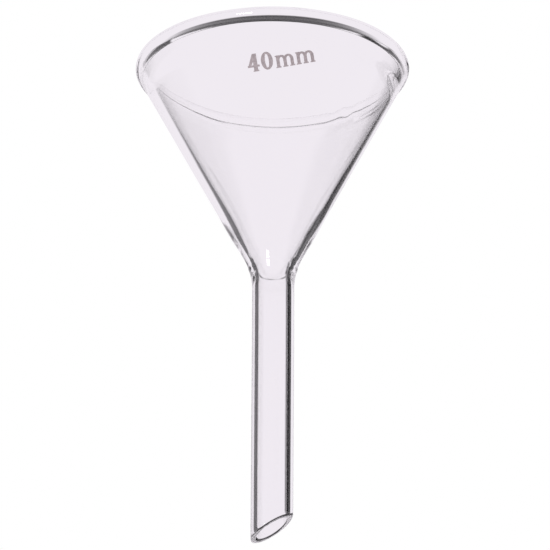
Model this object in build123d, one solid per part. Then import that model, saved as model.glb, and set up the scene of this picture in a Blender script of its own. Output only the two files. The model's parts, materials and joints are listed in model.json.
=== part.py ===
from build123d import *
import math
import os

# A small laboratory filter funnel in borosilicate glass, in millimetres, +Z up.
# The origin is on the axis at the top of the straight stem, just under the neck.
# It is hand made from two pieces of glass, a cone with a beaded rim and a length of
# tube, melted together in a ring of glass at the neck. The size is fired on in enamel.
# The mark faces -Y, and the slanted end of the stem opens towards +X.

# Mouth and rim
mouth_radius = 20.0
bead_radius = 0.9
bead_height = 35.4
bead_blend = 0.9
swelling_length = 1.25
swelling_blend = 0.2

# Cone
cone_half_angle = 27.3
cone_radius_under_bead = 19.4
cone_height_under_bead = 34.5
cone_wall = 1.1

# Stem
stem_radius = 3.05
bore_radius = 2.15
stem_tip_height = -39.6
tip_slant = 32.4
tip_rounding = 0.36

# Neck, where the cone turns into the stem
bore_blend_radius = 8.0
seal_middle = 3.2
seal_height = 1.2
seal_bulge = 0.1

# Enamel size mark
mark_height = 29.24
mark_offset = 1.19
mark_turn = 11.2
enamel_thickness = 0.06
digit_height = 2.6
digit_width = 1.72
digit_stroke = 0.58
letter_height = 1.8
letter_arch = 1.5
letter_stroke = 0.48
serif_height = 0.17
serif_reach = 0.13
thin_stroke = 0.3
digit_gap = 0.26
letter_gap = 0.48
diagonal_width = 0.4
mark_reach = 4.0

slope = math.tan(math.radians(cone_half_angle))
cosine = math.cos(math.radians(cone_half_angle))
sine = math.sin(math.radians(cone_half_angle))
level_wall = cone_wall / cosine
seal_bottom = seal_middle - seal_height / 2
seal_top = seal_middle + seal_height / 2


def cone_outside(height):
    """Radius of the cone's outer face at a height."""
    return cone_radius_under_bead + slope * (height - cone_height_under_bead)


def cone_height_at(radius):
    """Height at which the cone's outer face has a radius."""
    return cone_height_under_bead + (radius - cone_radius_under_bead) / slope


def neck_arc(start_radius, corner_height, arc_radius):
    """Tangent arc from a vertical wall to the cone: its centre and upper end."""
    reach = arc_radius * math.tan(math.radians(cone_half_angle / 2))
    centre = (start_radius + arc_radius, corner_height - reach)
    end = (start_radius + reach * sine, corner_height + reach * cosine)
    return centre, end


def arc_face(centre, arc_radius, height):
    """Radius of a neck arc at a height."""
    return centre[0] - math.sqrt(arc_radius**2 - (height - centre[1]) ** 2)


# The outer arc ends at the top of the straight stem, which is height 0.
outer_corner = cone_height_at(stem_radius)
outer_arc_radius = outer_corner / math.tan(math.radians(cone_half_angle / 2))
outer_centre, outer_end = neck_arc(stem_radius, outer_corner, outer_arc_radius)
bore_corner = cone_height_at(bore_radius + level_wall)
bore_centre, bore_end = neck_arc(bore_radius, bore_corner, bore_blend_radius)


def neck_outside(height):
    """Radius of the neck's outer face at a height."""
    return arc_face(outer_centre, outer_arc_radius, height)


def neck_inside(height):
    """Radius of the neck's bore at a height."""
    return arc_face(bore_centre, bore_blend_radius, height)


def turned(section):
    """Solid of revolution from a section drawn as (radius, height)."""
    return revolve(Plane.XZ * section, Axis.Z)


def rim_points():
    """Where the bead's outline turns: outer root, top, inner crest and the swelling's root."""
    centre = Vector(mouth_radius - bead_radius, bead_height)
    up_the_wall = Vector(sine, cosine)
    outward = Vector(cosine, -sine)
    outer_depth = (Vector(cone_outside(bead_height), bead_height) - centre).dot(outward)
    inner_depth = cone_wall - outer_depth
    root_drop = math.sqrt(bead_radius**2 - outer_depth**2)
    outer_root = centre + outward * outer_depth - up_the_wall * root_drop
    top = centre + up_the_wall * bead_radius
    crest = centre - outward * bead_radius
    inner_root = centre - outward * inner_depth - up_the_wall * swelling_length
    return outer_root, top, crest, inner_root


def make_bowl():
    """Neck above the seal and the cone, with its rim melted back into a round bead.

    Inside, the bead runs down the wall in a longer swelling.
    """
    outer_low = (neck_outside(seal_top), seal_top)
    outer_middle_height = (seal_top + outer_end[1]) / 2
    outer_middle = (neck_outside(outer_middle_height), outer_middle_height)
    inner_low = (neck_inside(seal_top), seal_top)
    inner_middle_height = (seal_top + bore_end[1]) / 2
    inner_middle = (neck_inside(inner_middle_height), inner_middle_height)
    outer_root, top, crest, inner_root = rim_points()
    outline = [
        ThreePointArc(outer_low, outer_middle, outer_end),
        Line(outer_end, outer_root),
        ThreePointArc(outer_root, top, crest),
        TangentArc(crest, inner_root, tangent=Vector(-sine, -cosine)),
        Line(inner_root, bore_end),
        ThreePointArc(bore_end, inner_middle, inner_low),
        Line(inner_low, outer_low),
    ]
    section = make_face(outline)
    section = fillet(section.vertices().sort_by_distance(outer_root)[0], bead_blend)
    section = fillet(section.vertices().sort_by_distance(inner_root)[0], swelling_blend)
    return turned(section)


def make_neck_seal():
    """Ring of melted glass that joins the cone to the tube, a little swollen."""
    outer = [(neck_outside(z), z) for z in (seal_bottom, seal_top)]
    inner = [(neck_inside(z), z) for z in (seal_bottom, seal_top)]
    outer_swell = (neck_outside(seal_middle) + seal_bulge, seal_middle)
    inner_swell = (neck_inside(seal_middle) - seal_bulge, seal_middle)
    outline = [
        ThreePointArc(outer[0], outer_swell, outer[1]),
        Line(outer[1], inner[1]),
        ThreePointArc(inner[1], inner_swell, inner[0]),
        Line(inner[0], outer[0]),
    ]
    return turned(make_face(outline))


def make_stem():
    """Tube below the seal, with its end cut on the slant and melted smooth."""
    below = stem_tip_height - stem_radius
    outer_high = (neck_outside(seal_bottom), seal_bottom)
    outer_middle = (neck_outside(seal_bottom / 2), seal_bottom / 2)
    inner_high = (neck_inside(seal_bottom), seal_bottom)
    bore_start = bore_centre[1]
    inner_middle_height = (seal_bottom + bore_start) / 2
    inner_middle = (neck_inside(inner_middle_height), inner_middle_height)
    outline = [
        ThreePointArc(outer_high, outer_middle, (stem_radius, 0)),
        Line((stem_radius, 0), (stem_radius, below)),
        Line((stem_radius, below), (bore_radius, below)),
        Line((bore_radius, below), (bore_radius, bore_start)),
        ThreePointArc((bore_radius, bore_start), inner_middle, inner_high),
        Line(inner_high, outer_high),
    ]
    slant = math.radians(tip_slant)
    normal = (math.sin(slant), 0, -math.cos(slant))
    lowest = (-stem_radius, 0, stem_tip_height)
    cut = Plane(origin=lowest, z_dir=normal)
    tube = split(turned(make_face(outline)), cut, keep=Keep.BOTTOM)
    cut_edges = [edge for edge in tube.edges() if edge.geom_type == GeomType.ELLIPSE]
    return fillet(cut_edges, tip_rounding)


def bar(left, right, low, high):
    """Rectangle between two sides and two levels."""
    place = Pos((left + right) / 2, (low + high) / 2)
    return place * Rectangle(right - left, high - low)


def foot(leg):
    """Foot serif under a leg that starts at a place."""
    return bar(leg - serif_reach, leg + letter_stroke + serif_reach, 0, serif_height)


def figure_four():
    """Figure 4, from its diagonal, bar, stem and foot, with the left end at 0."""
    right = digit_width - thin_stroke
    left = right - digit_stroke
    level = digit_height / 4
    diagonal = Polyline(
        (0, level), (left, digit_height), (right, digit_height), (diagonal_width, level),
        close=True,
    )
    figure = make_face(diagonal) + bar(0, digit_width, level, level + thin_stroke)
    figure += bar(left, right, 0, digit_height)
    return figure + bar(left - serif_reach, right + serif_reach, 0, serif_height)


def figure_nought():
    """Figure 0, an upright ring that is heavier at its sides."""
    outside = Ellipse(digit_width / 2, digit_height / 2)
    inside = Ellipse(digit_width / 2 - digit_stroke, digit_height / 2 - thin_stroke)
    return Pos(digit_width / 2, digit_height / 2) * (outside - inside)


def letter_m():
    """Small letter m: three legs on feet under two arches."""
    spacing = letter_arch - letter_stroke
    legs = [index * spacing for index in range(3)]
    spring = letter_height - letter_arch / 2
    letter = bar(-serif_reach, 0, letter_height - serif_height, letter_height)
    letter += bar(0, letter_stroke, 0, letter_height)
    for leg in legs[1:]:
        letter += bar(leg, leg + letter_stroke, 0, spring)
        letter += foot(leg)
        crown = Ellipse(letter_arch / 2, letter_arch / 2)
        crown -= Ellipse(letter_arch / 2 - letter_stroke, letter_arch / 2 - thin_stroke)
        crown = Pos(leg - spacing + letter_arch / 2, spring) * crown
        letter += crown - bar(-letter_arch, 4 * letter_arch, -letter_height, spring)
    return letter + foot(legs[0])


def make_size_mark():
    """Enamel figures and letters, as thin solids that lie on the cone's outer face."""
    radius = cone_outside(mark_height)
    azimuth = mark_offset / radius
    across = (math.cos(azimuth), math.sin(azimuth), 0)
    outward = (cosine * math.sin(azimuth), -cosine * math.cos(azimuth), -sine)
    point = (radius * math.sin(azimuth), -radius * math.cos(azimuth), mark_height)
    face = Plane(origin=point, x_dir=across, z_dir=outward)
    letter_width = 2 * letter_arch - letter_stroke
    step = digit_width + digit_gap
    row = [
        (0, figure_four()),
        (step, figure_nought()),
        (step + digit_width + letter_gap, letter_m()),
        (step + digit_width + 2 * letter_gap + letter_width, letter_m()),
    ]
    width = row[-1][0] + letter_width
    low = mark_height - mark_reach
    high = mark_height + mark_reach
    skin_outline = Polyline(
        (cone_outside(low), low),
        (cone_outside(high), high),
        (cone_outside(high) + enamel_thickness, high),
        (cone_outside(low) + enamel_thickness, low),
        close=True,
    )
    skin = turned(make_face(skin_outline))
    pieces = []
    for place, sketch in row:
        flat = Rot(0, 0, mark_turn) * Pos(place - width / 2, -digit_height / 2) * sketch
        block = extrude(face * flat, amount=mark_reach / 2, both=True)
        pieces += (block & skin).solids()
    return Compound(children=pieces)


os.makedirs("parts", exist_ok=True)
export_step(make_bowl(), "parts/bowl.step")
export_step(make_neck_seal(), "parts/neck_seal.step")
export_step(make_stem(), "parts/stem.step")
export_step(make_size_mark(), "parts/size_mark.step")
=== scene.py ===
import json
import math

import bpy
import numpy as np
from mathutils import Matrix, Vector


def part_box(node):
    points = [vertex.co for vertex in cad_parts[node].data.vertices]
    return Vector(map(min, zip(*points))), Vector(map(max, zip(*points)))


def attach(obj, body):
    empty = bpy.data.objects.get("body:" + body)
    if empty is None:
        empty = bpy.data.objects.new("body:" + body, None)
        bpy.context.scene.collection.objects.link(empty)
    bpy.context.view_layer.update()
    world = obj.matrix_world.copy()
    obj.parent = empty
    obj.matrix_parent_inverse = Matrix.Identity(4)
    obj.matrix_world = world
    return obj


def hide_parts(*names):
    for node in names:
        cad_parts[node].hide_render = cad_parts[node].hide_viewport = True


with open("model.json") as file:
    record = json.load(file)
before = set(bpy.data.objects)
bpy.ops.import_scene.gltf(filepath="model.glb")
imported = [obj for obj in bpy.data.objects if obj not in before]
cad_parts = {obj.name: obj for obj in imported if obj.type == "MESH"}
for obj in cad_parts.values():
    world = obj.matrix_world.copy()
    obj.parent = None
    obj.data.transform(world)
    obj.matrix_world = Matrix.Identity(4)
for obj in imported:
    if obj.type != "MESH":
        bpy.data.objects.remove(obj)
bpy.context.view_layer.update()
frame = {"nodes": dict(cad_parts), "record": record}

# A small hand-made glass funnel, held in the air by its stem.
# Lengths are millimetres in the frame's axes until a mesh is made.
MM = 0.001
dims = {mount["name"]: mount["dims"] for mount in frame["record"]["mounts"]}
bowl_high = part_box("bowl")[1]
seal_low, seal_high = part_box("neck_seal")

# Driving dimensions, as in the CAD
MOUTH_RADIUS = bowl_high.x / MM
STEM_RADIUS = dims["stem_outside"]["r_mm"]
BORE_RADIUS = dims["stem_bore"]["r_mm"]
SEAL_BOTTOM = seal_low.z / MM
SEAL_TOP = seal_high.z / MM
SEAL_MIDDLE = (SEAL_BOTTOM + SEAL_TOP) / 2
BEAD_RADIUS = 0.9
BEAD_HEIGHT = bowl_high.z / MM - BEAD_RADIUS
BEAD_BLEND = 0.9
SWELLING_LENGTH = 1.25
SWELLING_BLEND = 0.2
CONE_ANGLE = math.radians(27.3)
CONE_WALL = 1.1
CONE_RADIUS_UNDER_BEAD = 19.4
CONE_HEIGHT_UNDER_BEAD = 34.5
BORE_BLEND = 8.0
SLANT = math.radians(32.4)
TIP_HEIGHT = -39.6
TIP_ROUNDING = 0.36
TIP_DEPTH = 0.42

# How finely the glass is meshed
AROUND = 384
BEAD_STEPS = 64
ROOT_STEPS = 12
STEM_STEPS = 150
STEM_CROWDING = 1.5
LIP_STEPS = 9
SPACING = 0.2
SEAL_SPACING = SPACING / 4

# Sway of the axis: amounts, and the heights or depths between which each sets in
NECK_SWAY = 0.12
NECK_SWAY_HEIGHTS = (-2, 20)
TIP_SWAY = 0.2
TIP_SWAY_DEPTHS = (-4, 44)

# Ripples: amount, turns round the axis, waves along it and how many are added up
INNER_RIPPLE = (0.004, (2, 9), 0.4, 7)
OUTER_RIPPLE = (0.003, (2, 9), 0.4, 7)
CHATTER_RIPPLE = (0.006, (18, 38), 2.2, 8)
BEAD_RIPPLE = (0.012, (2, 9), 0.1, 5)
SEAL_RIPPLE = (0.008, (3, 11), 1.0, 4)

# Heights between which the cone's and the bead's unevenness sets in and dies out
WALL_START = (SEAL_TOP + 0.5, 12)
WALL_END = (32, 34.2)
BEAD_START = (33.5, 34.8)

# Patch of tool chatter on the cone: angle, reach round the axis, height and half height
CHATTER_ANGLE = 0.8
CHATTER_REACH = (0.955, 1)
CHATTER_HEIGHT = 23.2
CHATTER_HALF_HEIGHT = 2.2

# The inner face sits off centre: amounts at the base height, and their change over a span
LEAN_START = (5, 15)
LEAN_END = (31, 33.5)
LEAN_BASE = 10
LEAN_SPAN = 20
LEAN_ALL_ROUND = 0.1
LEAN_TO_RIGHT = 0.15
LEAN_CHANGE = 0.12

# The outer face stands proud over the neck, a little more at the sides
SHOULDER_START = (6.4, 9.0)
SHOULDER_END = (10, 14)
SHOULDER_ALL_ROUND = 0.03
SHOULDER_AT_SIDES = 0.04
SIDES_REACH = (0.75, 1)

# Swelling of the melted ring
RING_INSIDE = 0.017
RING_OUTSIDE = 0.05

# Glass and enamel
GLASS_INDEX = 1.473
GLASS_TINTS = ((0.992, 0.988, 0.994, 1), (1.0, 0.998, 1.0, 1))
STRIAE_SCALE = 260
STRIAE_STRETCH = (1.0, 1.0, 0.35)
STRIAE_STRENGTH = 0.25
STRIAE_DEPTH = 0.00002
ENAMEL_TINTS = ((0.27, 0.235, 0.24, 1), (0.40, 0.35, 0.355, 1))
ENAMEL_SPREAD = (0.3, 0.7)
ENAMEL_GRAIN = 3500
ENAMEL_ROUGHNESS = 0.6

# Studio. Directions are in degrees: side is to the right of straight behind the funnel,
# level is above the horizontal.
BACKDROP = (1, 1, 1, 1)
LAVENDER = (0.875, 0.835, 0.885, 1)
FLAG_SIDES = (24, 75)
FLAG_LEVEL = 24
FLAG_DROP = 16
RIGHT_LEAN = 0.8
LEFT_LEAN = 0.58
RIGHT_SOFTNESS = 4.5
LEFT_SOFTNESS = 2.5
RIGHT_DARKNESS = 0.98
LEFT_DARKNESS = 0.93
FLAG_FOOT = (-14, -8)
FLAG_FOOT_SHARE = 0.45
FLAG_BODY = (-1, 4)
FLAG_BODY_SHARE = 0.55
FEW_BOUNCES = 4.5
DEEP_LEVEL = (15, 20)
TOP_FLAG = (38.5, 66, 4)
TOP_DARKNESS = 0.96
LOW_CARD_SIDE = (24, 46, 5)
LOW_CARD_LEVEL = (-4, 15, 4)
HIGH_CARD_SIDE = (64, 92, 5)
HIGH_CARD_LEVEL = (16, 31, 3)
LAMP_PLACE = (-0.58, -1.37, -0.27)
LAMP_SIZE = (0.35, 0.6)
LAMP_POWER = 6
FLOOR_DEPTH = -0.8
FLOOR_HALF = 20.0
FLOOR_TINT = (0.95, 0.95, 0.95, 1)
FLOOR_ROUGHNESS = 0.9

# Camera, in metres
CAMERA_DISTANCE = 1.5
CAMERA_ELEVATION = math.radians(-24.4)
CAMERA_TARGET = Vector((0.00038, 0, 0.0024))
VIEW_WIDTH = 0.07975
SENSOR_WIDTH = 36
CLIP_START = 0.01

# Turns of light inside the glass before it is given up
BOUNCES = 64

rng = np.random.default_rng(4010)
slope = math.tan(CONE_ANGLE)
level_wall = CONE_WALL / math.cos(CONE_ANGLE)
UP_THE_WALL = np.array([math.sin(CONE_ANGLE), math.cos(CONE_ANGLE)])
OUTWARD = np.array([math.cos(CONE_ANGLE), -math.sin(CONE_ANGLE)])


# ---------------------------------------------------------------- outlines
def cone_line(z, inside):
    """Radius of the cone's straight outer or inner face at a height."""
    radius = CONE_RADIUS_UNDER_BEAD + slope * (z - CONE_HEIGHT_UNDER_BEAD)
    return radius - level_wall if inside else radius


def corner_height(radius):
    """Height at which the cone's outer face has a radius."""
    return CONE_HEIGHT_UNDER_BEAD + (radius - CONE_RADIUS_UNDER_BEAD) / slope


OUTER_CORNER = corner_height(STEM_RADIUS)
BORE_CORNER = corner_height(BORE_RADIUS + level_wall)
OUTER_BLEND = OUTER_CORNER / math.tan(CONE_ANGLE / 2)
BORE_START = BORE_CORNER - BORE_BLEND * math.tan(CONE_ANGLE / 2)


def neck_radius(z, inside):
    """Radius of the smooth neck: stem below, tangent arc, then the cone."""
    wall, blend, start = STEM_RADIUS, OUTER_BLEND, 0.0
    if inside:
        wall, blend, start = BORE_RADIUS, BORE_BLEND, BORE_START
    rise = np.clip(z - start, 0, blend * math.sin(CONE_ANGLE))
    arc = wall + blend - np.sqrt(blend**2 - rise**2)
    above = z > start + blend * math.sin(CONE_ANGLE)
    return np.where(above, cone_line(z, inside), arc)


def spaced(start, end, step=SPACING):
    """Heights from start up to, but not at, end."""
    count = max(2, int(abs(end - start) / step))
    return np.linspace(start, end, count, endpoint=False)


def root_arc(centre, radius, blend, inside):
    """Centre of the small hollow arc where the rim's round meets a face of the cone."""
    outward = -OUTWARD if inside else OUTWARD
    base = np.array([cone_line(BEAD_HEIGHT, inside), BEAD_HEIGHT])
    depth = (centre - base) @ outward
    level = (centre - base) @ UP_THE_WALL
    reach = math.sqrt((radius + blend) ** 2 - (blend - depth) ** 2)
    return base + UP_THE_WALL * (level - reach) + outward * blend, outward


def heading(start, end):
    """Angle of the line from one point to another."""
    return math.atan2(end[1] - start[1], end[0] - start[0])


def arc_points(centre, radius, start, end, count):
    """Points on an arc, not including its end."""
    angle = np.linspace(start, end, count, endpoint=False)
    return np.stack([centre[0] + radius * np.cos(angle), centre[1] + radius * np.sin(angle)], 1)


def rim_outline(bead):
    """Outside of the bowl and round the bead: its points, and the bead's crest."""
    root, outward = root_arc(bead, BEAD_RADIUS, BEAD_BLEND, False)
    foot = root - outward * BEAD_BLEND
    z = spaced(SEAL_TOP, foot[1])
    outside = np.stack([neck_radius(z, False), z], 1)
    start, end = heading(root, foot), heading(root, bead)
    blend_out = arc_points(root, BEAD_BLEND, start, end, ROOT_STEPS)
    crest = bead - OUTWARD * BEAD_RADIUS
    start, end = heading(bead, root), heading(bead, crest)
    round_bead = arc_points(bead, BEAD_RADIUS, start, end, BEAD_STEPS)
    return [outside, blend_out, round_bead], crest


def swelling_outline(bead, crest):
    """Arc that leaves the bead at its crest and meets the wall lower down, and its foot."""
    outer_depth = (np.array([cone_line(BEAD_HEIGHT, False), BEAD_HEIGHT]) - bead) @ OUTWARD
    rise = BEAD_RADIUS - (CONE_WALL - outer_depth)
    radius = (SWELLING_LENGTH**2 + rise**2) / (2 * rise)
    centre = crest + OUTWARD * radius
    root, outward = root_arc(centre, radius, SWELLING_BLEND, True)
    start, end = heading(bead, crest), heading(centre, root) + 2 * math.pi
    swelling = arc_points(centre, radius, start, end, BEAD_STEPS // 2)
    foot = root - outward * SWELLING_BLEND
    start, end = heading(root, centre), heading(root, foot)
    blend_in = arc_points(root, SWELLING_BLEND, start, end, ROOT_STEPS)
    return [swelling, blend_in], foot


def bowl_outline():
    """Closed outline of the bowl's wall, from the seam up the outside and down the inside."""
    bead = np.array([MOUTH_RADIUS - BEAD_RADIUS, BEAD_HEIGHT])
    outer_part, crest = rim_outline(bead)
    swelling_part, foot = swelling_outline(bead, crest)
    z = np.append(spaced(foot[1], SEAL_TOP), SEAL_TOP)
    inside = np.stack([neck_radius(z, True), z], 1)
    return np.concatenate([*outer_part, *swelling_part, inside])


def seal_outline():
    """Outline of the ring of melted glass, up the outside and down the inside."""
    z = np.append(spaced(SEAL_BOTTOM, SEAL_TOP, SEAL_SPACING), SEAL_TOP)
    outside = np.stack([neck_radius(z, False), z], 1)
    inside = np.stack([neck_radius(z, True), z], 1)[::-1]
    return np.concatenate([outside, inside])


# ---------------------------------------------------------------- hand-made unevenness
def ripple(theta, z, amount, turns, waves, count):
    """Smooth unevenness: a few waves round the axis and along it."""
    total = np.zeros(np.broadcast(theta, z).shape)
    for _ in range(count):
        turn = rng.integers(turns[0], turns[1] + 1)
        wave = rng.uniform(-waves, waves)
        phase = rng.uniform(0, 2 * math.pi)
        total = total + np.cos(turn * theta + wave * z + phase)
    return amount * total / math.sqrt(count)


def hill(z, centre, width):
    """Bell curve of height 1."""
    return np.exp(-(((z - centre) / width) ** 2))


def fade(z, low, high):
    """0 below low, 1 above high, smooth between."""
    t = np.clip((z - low) / (high - low), 0, 1)
    return t * t * (3 - 2 * t)


def sway(z):
    """How far the axis wanders to the right: a little at the neck, back again at the tip."""
    return NECK_SWAY * (1 - fade(z, *NECK_SWAY_HEIGHTS)) - TIP_SWAY * fade(-z, *TIP_SWAY_DEPTHS)


def bowl_push(theta, z, inside):
    """How far the bowl's faces stray from a true cone."""
    wall = fade(z, *WALL_START) * (1 - fade(z, *WALL_END))
    waves_in = ripple(theta, z, *INNER_RIPPLE)
    waves_out = ripple(theta, z, *OUTER_RIPPLE)
    # The patch is on the outside, below the size mark and to its right.
    across = fade(np.cos(theta + CHATTER_ANGLE), *CHATTER_REACH)
    patch = across * hill(z, CHATTER_HEIGHT, CHATTER_HALF_HEIGHT)
    chatter = patch * ripple(theta, z, *CHATTER_RIPPLE)
    outside_push = wall * waves_out + chatter + shoulder(theta, z)
    inside_push = wall * waves_in + uneven_wall(theta, z)
    bead = fade(z, *BEAD_START) * ripple(theta, z, *BEAD_RIPPLE)
    return np.where(inside, inside_push, outside_push) + bead


def uneven_wall(theta, z):
    """The cone's inner face sits off centre, so the wall is thicker on the left."""
    body = fade(z, *LEAN_START) * (1 - fade(z, *LEAN_END))
    change = LEAN_CHANGE * (z - LEAN_BASE) / LEAN_SPAN
    return body * (LEAN_ALL_ROUND - change - (LEAN_TO_RIGHT + change) * np.cos(theta))


def shoulder(theta, z):
    """The outer face stands a little proud over the neck."""
    sides = SHOULDER_ALL_ROUND + SHOULDER_AT_SIDES * fade(abs(np.cos(theta)), *SIDES_REACH)
    return sides * fade(z, *SHOULDER_START) * (1 - fade(z, *SHOULDER_END))


def seal_push(theta, z, inside):
    """Swelling of the melted ring."""
    half = (SEAL_TOP - SEAL_BOTTOM) / 2
    belly = (1 + np.cos(math.pi * (z - SEAL_MIDDLE) / half)) / 2
    ring = np.where(inside, RING_INSIDE, RING_OUTSIDE) * belly
    return ring + belly * ripple(theta, z, *SEAL_RIPPLE)


# ---------------------------------------------------------------- meshes
def mark_seams(mesh, seam_rows, rows, columns):
    """Gives the seam's faces the second material, and sharp edges on both sides."""
    seam = np.zeros((rows, columns), np.int32)
    ends = np.zeros((rows, columns), bool)
    for index in seam_rows:
        seam[index] = 1
        ends[index] = True
        ends[(index + 1) % rows] = True
    mesh.polygons.foreach_set("material_index", seam.ravel())
    edge = np.zeros(len(mesh.edges) * 2, np.int32)
    mesh.edges.foreach_get("vertices", edge)
    edge = edge.reshape(-1, 2)
    same_row = edge[:, 0] // columns == edge[:, 1] // columns
    sharp = same_row & ends.ravel()[edge[:, 0]]
    layer = mesh.attributes.new("sharp_edge", "BOOLEAN", "EDGE")
    layer.data.foreach_set("value", sharp)


def grid_mesh(name, points, seam_rows):
    """Closed ring mesh from rows of points; the seams are where it is fused to its neighbour."""
    rows, columns = points.shape[:2]
    row = np.arange(rows)[:, None] * columns
    column = np.arange(columns)[None, :]
    following = np.roll(row, -1, 0)
    beside = np.roll(column, -1, 1)
    corners = [row + column, row + beside, following + beside, following + column]
    quads = np.stack(corners, -1)
    mesh = bpy.data.meshes.new(name)
    mesh.from_pydata((points * MM).reshape(-1, 3), [], quads.reshape(-1, 4).tolist())
    mesh.polygons.foreach_set("use_smooth", np.ones(len(mesh.polygons), bool))
    mark_seams(mesh, seam_rows, rows, columns)
    mesh.validate()
    mesh.update()
    piece = bpy.data.objects.new(name, mesh)
    bpy.context.scene.collection.objects.link(piece)
    return piece


def outline_normals(outline):
    """Unit normals of a closed outline, pointing out of the glass."""
    tiny = 1e-9
    ahead = np.roll(outline, -1, 0) - outline
    behind = outline - np.roll(outline, 1, 0)
    ahead /= np.linalg.norm(ahead, axis=1, keepdims=True) + tiny
    behind /= np.linalg.norm(behind, axis=1, keepdims=True) + tiny
    along = ahead + behind
    along[0] = ahead[0]
    along[-1] = behind[-1]
    along /= np.linalg.norm(along, axis=1, keepdims=True)
    return np.stack([along[:, 1], -along[:, 0]], 1)


def swept(radius, theta, z):
    """Points about the axis, which sways a little."""
    x = radius * np.cos(theta) + sway(z)
    return np.stack(np.broadcast_arrays(x, radius * np.sin(theta), z), -1)


def all_round():
    """Angles round the axis, as one row."""
    return np.linspace(0, 2 * math.pi, AROUND, endpoint=False)[None, :]


def lathe(name, outline, push, seam_rows):
    """Turns an outline about the axis and pushes each point along the normal."""
    theta = all_round()
    normals = outline_normals(outline)
    inside = normals[:, 0:1] < 0
    amount = push(theta, outline[:, 1:2], inside)
    radius = outline[:, 0:1] + normals[:, 0:1] * amount
    height = outline[:, 1:2] + normals[:, 1:2] * amount
    return grid_mesh(name, swept(radius, theta, height), seam_rows)


def stem_mesh(name):
    """Tube with its end cut on the slant and melted smooth."""
    theta = all_round()

    def cut(radius):
        return TIP_HEIGHT + (STEM_RADIUS + radius * np.cos(theta)) * math.tan(SLANT)

    # The rows are closer together at the top, where the tube widens.
    down = np.linspace(0, 1, STEM_STEPS)[:, None] ** STEM_CROWDING
    outer_z = SEAL_BOTTOM + (cut(STEM_RADIUS) + TIP_DEPTH - SEAL_BOTTOM) * down
    inner_z = SEAL_BOTTOM + (cut(BORE_RADIUS) + TIP_DEPTH - SEAL_BOTTOM) * down[::-1]
    # Both lips of the end are quarter rounds.
    corner = np.linspace(0, math.pi / 2, LIP_STEPS)[:, None]
    inset = TIP_ROUNDING * (1 - np.cos(corner)) + 0 * theta
    lift = TIP_DEPTH * (1 - np.sin(corner))
    outer_lip = STEM_RADIUS - inset
    inner_lip = BORE_RADIUS + inset[::-1]
    outer_lip_z = cut(outer_lip) + lift
    inner_lip_z = cut(inner_lip) + lift[::-1]
    outside = neck_radius(outer_z, False)[:-1]
    inside = neck_radius(inner_z, True)[1:]
    radius = np.concatenate([outside, outer_lip, inner_lip, inside])
    z = np.concatenate([outer_z[:-1], outer_lip_z, inner_lip_z, inner_z[1:]])
    # These rows run down the outside, so they are turned round to face outwards.
    points = swept(radius, theta, z)[::-1]
    return grid_mesh(name, points, [len(points) - 1])


# ---------------------------------------------------------------- materials
def new_material(name):
    """Empty node material, with its nodes and links."""
    material = bpy.data.materials.new(name)
    material.use_nodes = True
    return material, material.node_tree.nodes, material.node_tree.links


def tinted_noise(nodes, links, scale, detail, tints):
    """Noise on the object's own coordinates, and a ramp of two tints from it."""
    place = nodes.new("ShaderNodeTexCoord")
    noise = nodes.new("ShaderNodeTexNoise")
    noise.inputs["Scale"].default_value = scale
    noise.inputs["Detail"].default_value = detail
    ramp = nodes.new("ShaderNodeValToRGB")
    for stop, tint in zip(ramp.color_ramp.elements, tints):
        stop.color = tint
    links.new(place.outputs["Object"], noise.inputs["Vector"])
    links.new(noise.outputs["Fac"], ramp.inputs["Fac"])
    return place, noise, ramp


def glass_material():
    """Clear borosilicate glass with faint drawn striae and flame-polished unevenness."""
    material, nodes, links = new_material("borosilicate_glass")
    shader = nodes["Principled BSDF"]
    shader.inputs["Transmission Weight"].default_value = 1.0
    shader.inputs["IOR"].default_value = GLASS_INDEX
    shader.inputs["Roughness"].default_value = 0.0
    place, noise, ramp = tinted_noise(nodes, links, STRIAE_SCALE, 2, GLASS_TINTS)
    stretch = nodes.new("ShaderNodeMapping")
    stretch.inputs["Scale"].default_value = STRIAE_STRETCH
    bump = nodes.new("ShaderNodeBump")
    bump.inputs["Strength"].default_value = STRIAE_STRENGTH
    bump.inputs["Distance"].default_value = STRIAE_DEPTH
    links.new(place.outputs["Object"], stretch.inputs["Vector"])
    links.new(stretch.outputs["Vector"], noise.inputs["Vector"])
    links.new(ramp.outputs["Color"], shader.inputs["Base Color"])
    links.new(noise.outputs["Fac"], bump.inputs["Height"])
    links.new(bump.outputs["Normal"], shader.inputs["Normal"])
    return material


def fused_material():
    """The inside of a melted joint, where there is no surface to see."""
    material, nodes, links = new_material("fused_joint")
    nodes.remove(nodes["Principled BSDF"])
    clear = nodes.new("ShaderNodeBsdfTransparent")
    links.new(clear.outputs["BSDF"], nodes["Material Output"].inputs["Surface"])
    return material


def enamel_material():
    """Fired grey enamel, a little grainy, as thin print is."""
    material, nodes, links = new_material("fired_enamel")
    shader = nodes["Principled BSDF"]
    shader.inputs["Roughness"].default_value = ENAMEL_ROUGHNESS
    _, _, ramp = tinted_noise(nodes, links, ENAMEL_GRAIN, 4, ENAMEL_TINTS)
    for stop, position in zip(ramp.color_ramp.elements, ENAMEL_SPREAD):
        stop.position = position
    links.new(ramp.outputs["Color"], shader.inputs["Base Color"])
    return material


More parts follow.
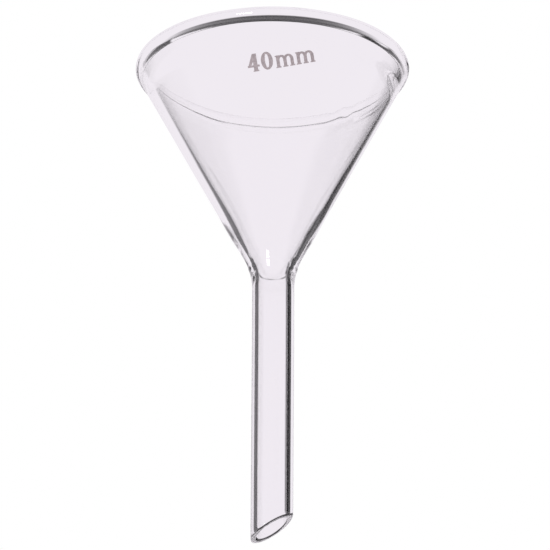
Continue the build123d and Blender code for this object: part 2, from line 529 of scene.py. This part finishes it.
# ---------------------------------------------------------------- studio
class Sums:
    """Short names for the maths nodes of one node tree."""

    def __init__(self, tree):
        self.nodes = tree.nodes
        self.links = tree.links

    def node(self, operation, *values, clamp=False):
        """One maths node, fed by numbers or by other nodes' outputs."""
        node = self.nodes.new("ShaderNodeMath")
        node.operation = operation
        node.use_clamp = clamp
        for socket, value in zip(node.inputs, values):
            if isinstance(value, (int, float)):
                socket.default_value = value
            else:
                self.links.new(value, socket)
        return node.outputs[0]

    def product(self, *values):
        total = values[0]
        for value in values[1:]:
            total = self.node("MULTIPLY", total, value)
        return total

    def without(self, amount):
        return self.node("SUBTRACT", 1.0, amount)

    def rise(self, value, low, high):
        """0 below low, 1 above high, smooth between."""
        node = self.nodes.new("ShaderNodeMapRange")
        node.interpolation_type = "SMOOTHSTEP"
        self.links.new(value, node.inputs["Value"])
        node.inputs["From Min"].default_value = low
        node.inputs["From Max"].default_value = high
        return node.outputs["Result"]

    def band(self, value, low, high, soft):
        """1 between low and high, with soft edges."""
        up = self.rise(value, low - soft, low + soft)
        down = self.rise(value, high - soft, high + soft)
        return self.node("SUBTRACT", up, down, clamp=True)


def flags(sums, side, level, bounces):
    """How much of the light from a direction the flags at the sides and overhead stop."""
    # The gap between the side flags leans: lower down it sits further to the left.
    drop = sums.node("MAXIMUM", sums.node("SUBTRACT", FLAG_LEVEL, level), 0.0)
    drop = sums.node("MINIMUM", drop, FLAG_DROP)
    right = sums.node("ADD", side, sums.product(drop, RIGHT_LEAN))
    left = sums.node("SUBTRACT", sums.product(side, -1.0), sums.product(drop, LEFT_LEAN))
    foot = sums.product(sums.rise(level, *FLAG_FOOT), FLAG_FOOT_SHARE)
    body = sums.product(sums.rise(level, *FLAG_BODY), FLAG_BODY_SHARE)
    height = sums.node("ADD", foot, body)
    # Light that has bounced often misses the side flags, apart from the right one's top.
    direct = sums.node("LESS_THAN", bounces, FEW_BOUNCES)
    either = sums.node("MAXIMUM", direct, sums.rise(level, *DEEP_LEVEL))
    right_band = sums.band(right, *FLAG_SIDES, RIGHT_SOFTNESS)
    left_band = sums.band(left, *FLAG_SIDES, LEFT_SOFTNESS)
    right_flag = sums.product(right_band, height, either, RIGHT_DARKNESS)
    left_flag = sums.product(left_band, height, direct, LEFT_DARKNESS)
    top_flag = sums.product(sums.band(level, *TOP_FLAG), TOP_DARKNESS)
    open_share = [sums.without(flag) for flag in (right_flag, left_flag, top_flag)]
    return sums.without(sums.product(*open_share))


def cards(sums, side, level):
    """Two dark cards on the right, which the glass reflects."""
    low = sums.product(sums.band(side, *LOW_CARD_SIDE), sums.band(level, *LOW_CARD_LEVEL))
    high = sums.product(sums.band(side, *HIGH_CARD_SIDE), sums.band(level, *HIGH_CARD_LEVEL))
    return sums.node("MAXIMUM", low, high)


def studio_world():
    """White backdrop for the camera; lavender with dark flags and cards for the glass."""
    world = bpy.data.worlds.new("studio")
    bpy.context.scene.world = world
    world.use_nodes = True
    nodes, links = world.node_tree.nodes, world.node_tree.links
    nodes.clear()
    sums = Sums(world.node_tree)
    place = nodes.new("ShaderNodeTexCoord")
    split = nodes.new("ShaderNodeSeparateXYZ")
    links.new(place.outputs["Generated"], split.inputs[0])
    x, y, z = split.outputs
    side = sums.node("DEGREES", sums.node("ARCTAN2", x, y))
    level = sums.node("DEGREES", sums.node("ARCSINE", z))
    path = nodes.new("ShaderNodeLightPath").outputs
    flagged = sums.product(flags(sums, side, level, path["Ray Depth"]), path["Is Transmission Ray"])
    carded = sums.product(cards(sums, side, level), path["Is Glossy Ray"])
    seen = nodes.new("ShaderNodeBackground")
    seen.inputs["Color"].default_value = BACKDROP
    felt = nodes.new("ShaderNodeBackground")
    felt.inputs["Color"].default_value = LAVENDER
    strength = sums.product(sums.without(flagged), sums.without(carded))
    links.new(strength, felt.inputs["Strength"])
    mix = nodes.new("ShaderNodeMixShader")
    out = nodes.new("ShaderNodeOutputWorld")
    links.new(path["Is Camera Ray"], mix.inputs[0])
    links.new(felt.outputs[0], mix.inputs[1])
    links.new(seen.outputs[0], mix.inputs[2])
    links.new(mix.outputs[0], out.inputs[0])


def add_lamp():
    """Rectangular soft light, low on the left in front, for the glint on the neck."""
    data = bpy.data.lights.new("low_front", "AREA")
    data.shape = "RECTANGLE"
    data.size, data.size_y = LAMP_SIZE
    data.energy = LAMP_POWER
    lamp = bpy.data.objects.new("low_front", data)
    bpy.context.scene.collection.objects.link(lamp)
    lamp.location = LAMP_PLACE
    lamp.visible_camera = False
    lamp.visible_transmission = False
    lamp.rotation_euler = (-Vector(LAMP_PLACE)).to_track_quat("-Z", "Y").to_euler()


def add_camera():
    """Long lens a little below the funnel, looking up past it at the bright backdrop."""
    data = bpy.data.cameras.new("camera")
    camera = bpy.data.objects.new("camera", data)
    bpy.context.scene.collection.objects.link(camera)
    away = Vector((0, -math.cos(CAMERA_ELEVATION), math.sin(CAMERA_ELEVATION)))
    camera.location = CAMERA_TARGET + away * CAMERA_DISTANCE
    camera.rotation_euler = (-away).to_track_quat("-Z", "Y").to_euler()
    data.sensor_width = SENSOR_WIDTH
    data.lens = SENSOR_WIDTH * CAMERA_DISTANCE / VIEW_WIDTH
    data.clip_start = CLIP_START
    bpy.context.scene.camera = camera


def add_floor():
    """Plain pale floor, well below the funnel."""
    mesh = bpy.data.meshes.new("floor")
    signs = ((-1, -1), (1, -1), (1, 1), (-1, 1))
    corners = [(x * FLOOR_HALF, y * FLOOR_HALF, FLOOR_DEPTH) for x, y in signs]
    mesh.from_pydata(corners, [], [(0, 1, 2, 3)])
    floor = bpy.data.objects.new("floor", mesh)
    bpy.context.scene.collection.objects.link(floor)
    material, nodes, _ = new_material("pale_floor")
    nodes["Principled BSDF"].inputs["Base Color"].default_value = FLOOR_TINT
    nodes["Principled BSDF"].inputs["Roughness"].default_value = FLOOR_ROUGHNESS
    mesh.materials.append(material)
    floor.visible_transmission = False
    floor.visible_glossy = False


# ---------------------------------------------------------------- the funnel
add_camera()
glass = glass_material()
fused = fused_material()
bowl_shape = bowl_outline()
seal_shape = seal_outline()
seal_seams = [len(seal_shape) // 2 - 1, len(seal_shape) - 1]
bowl = lathe("bowl_glass", bowl_shape, bowl_push, [len(bowl_shape) - 1])
seal = lathe("neck_seal_glass", seal_shape, seal_push, seal_seams)
stem = stem_mesh("stem_glass")
for piece, node in ((bowl, "bowl"), (seal, "neck_seal"), (stem, "stem")):
    piece.data.materials.append(glass)
    piece.data.materials.append(fused)
    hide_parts(node)
    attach(piece, "root")
mark = frame["nodes"]["size_mark"]
mark.data.materials.clear()
mark.data.materials.append(enamel_material())

studio_world()
add_lamp()
add_floor()

scene = bpy.context.scene
scene.view_settings.view_transform = "Standard"
scene.cycles.max_bounces = BOUNCES
scene.cycles.glossy_bounces = BOUNCES
scene.cycles.transmission_bounces = BOUNCES
scene.cycles.transparent_max_bounces = BOUNCES
scene.cycles.blur_glossy = 0.0
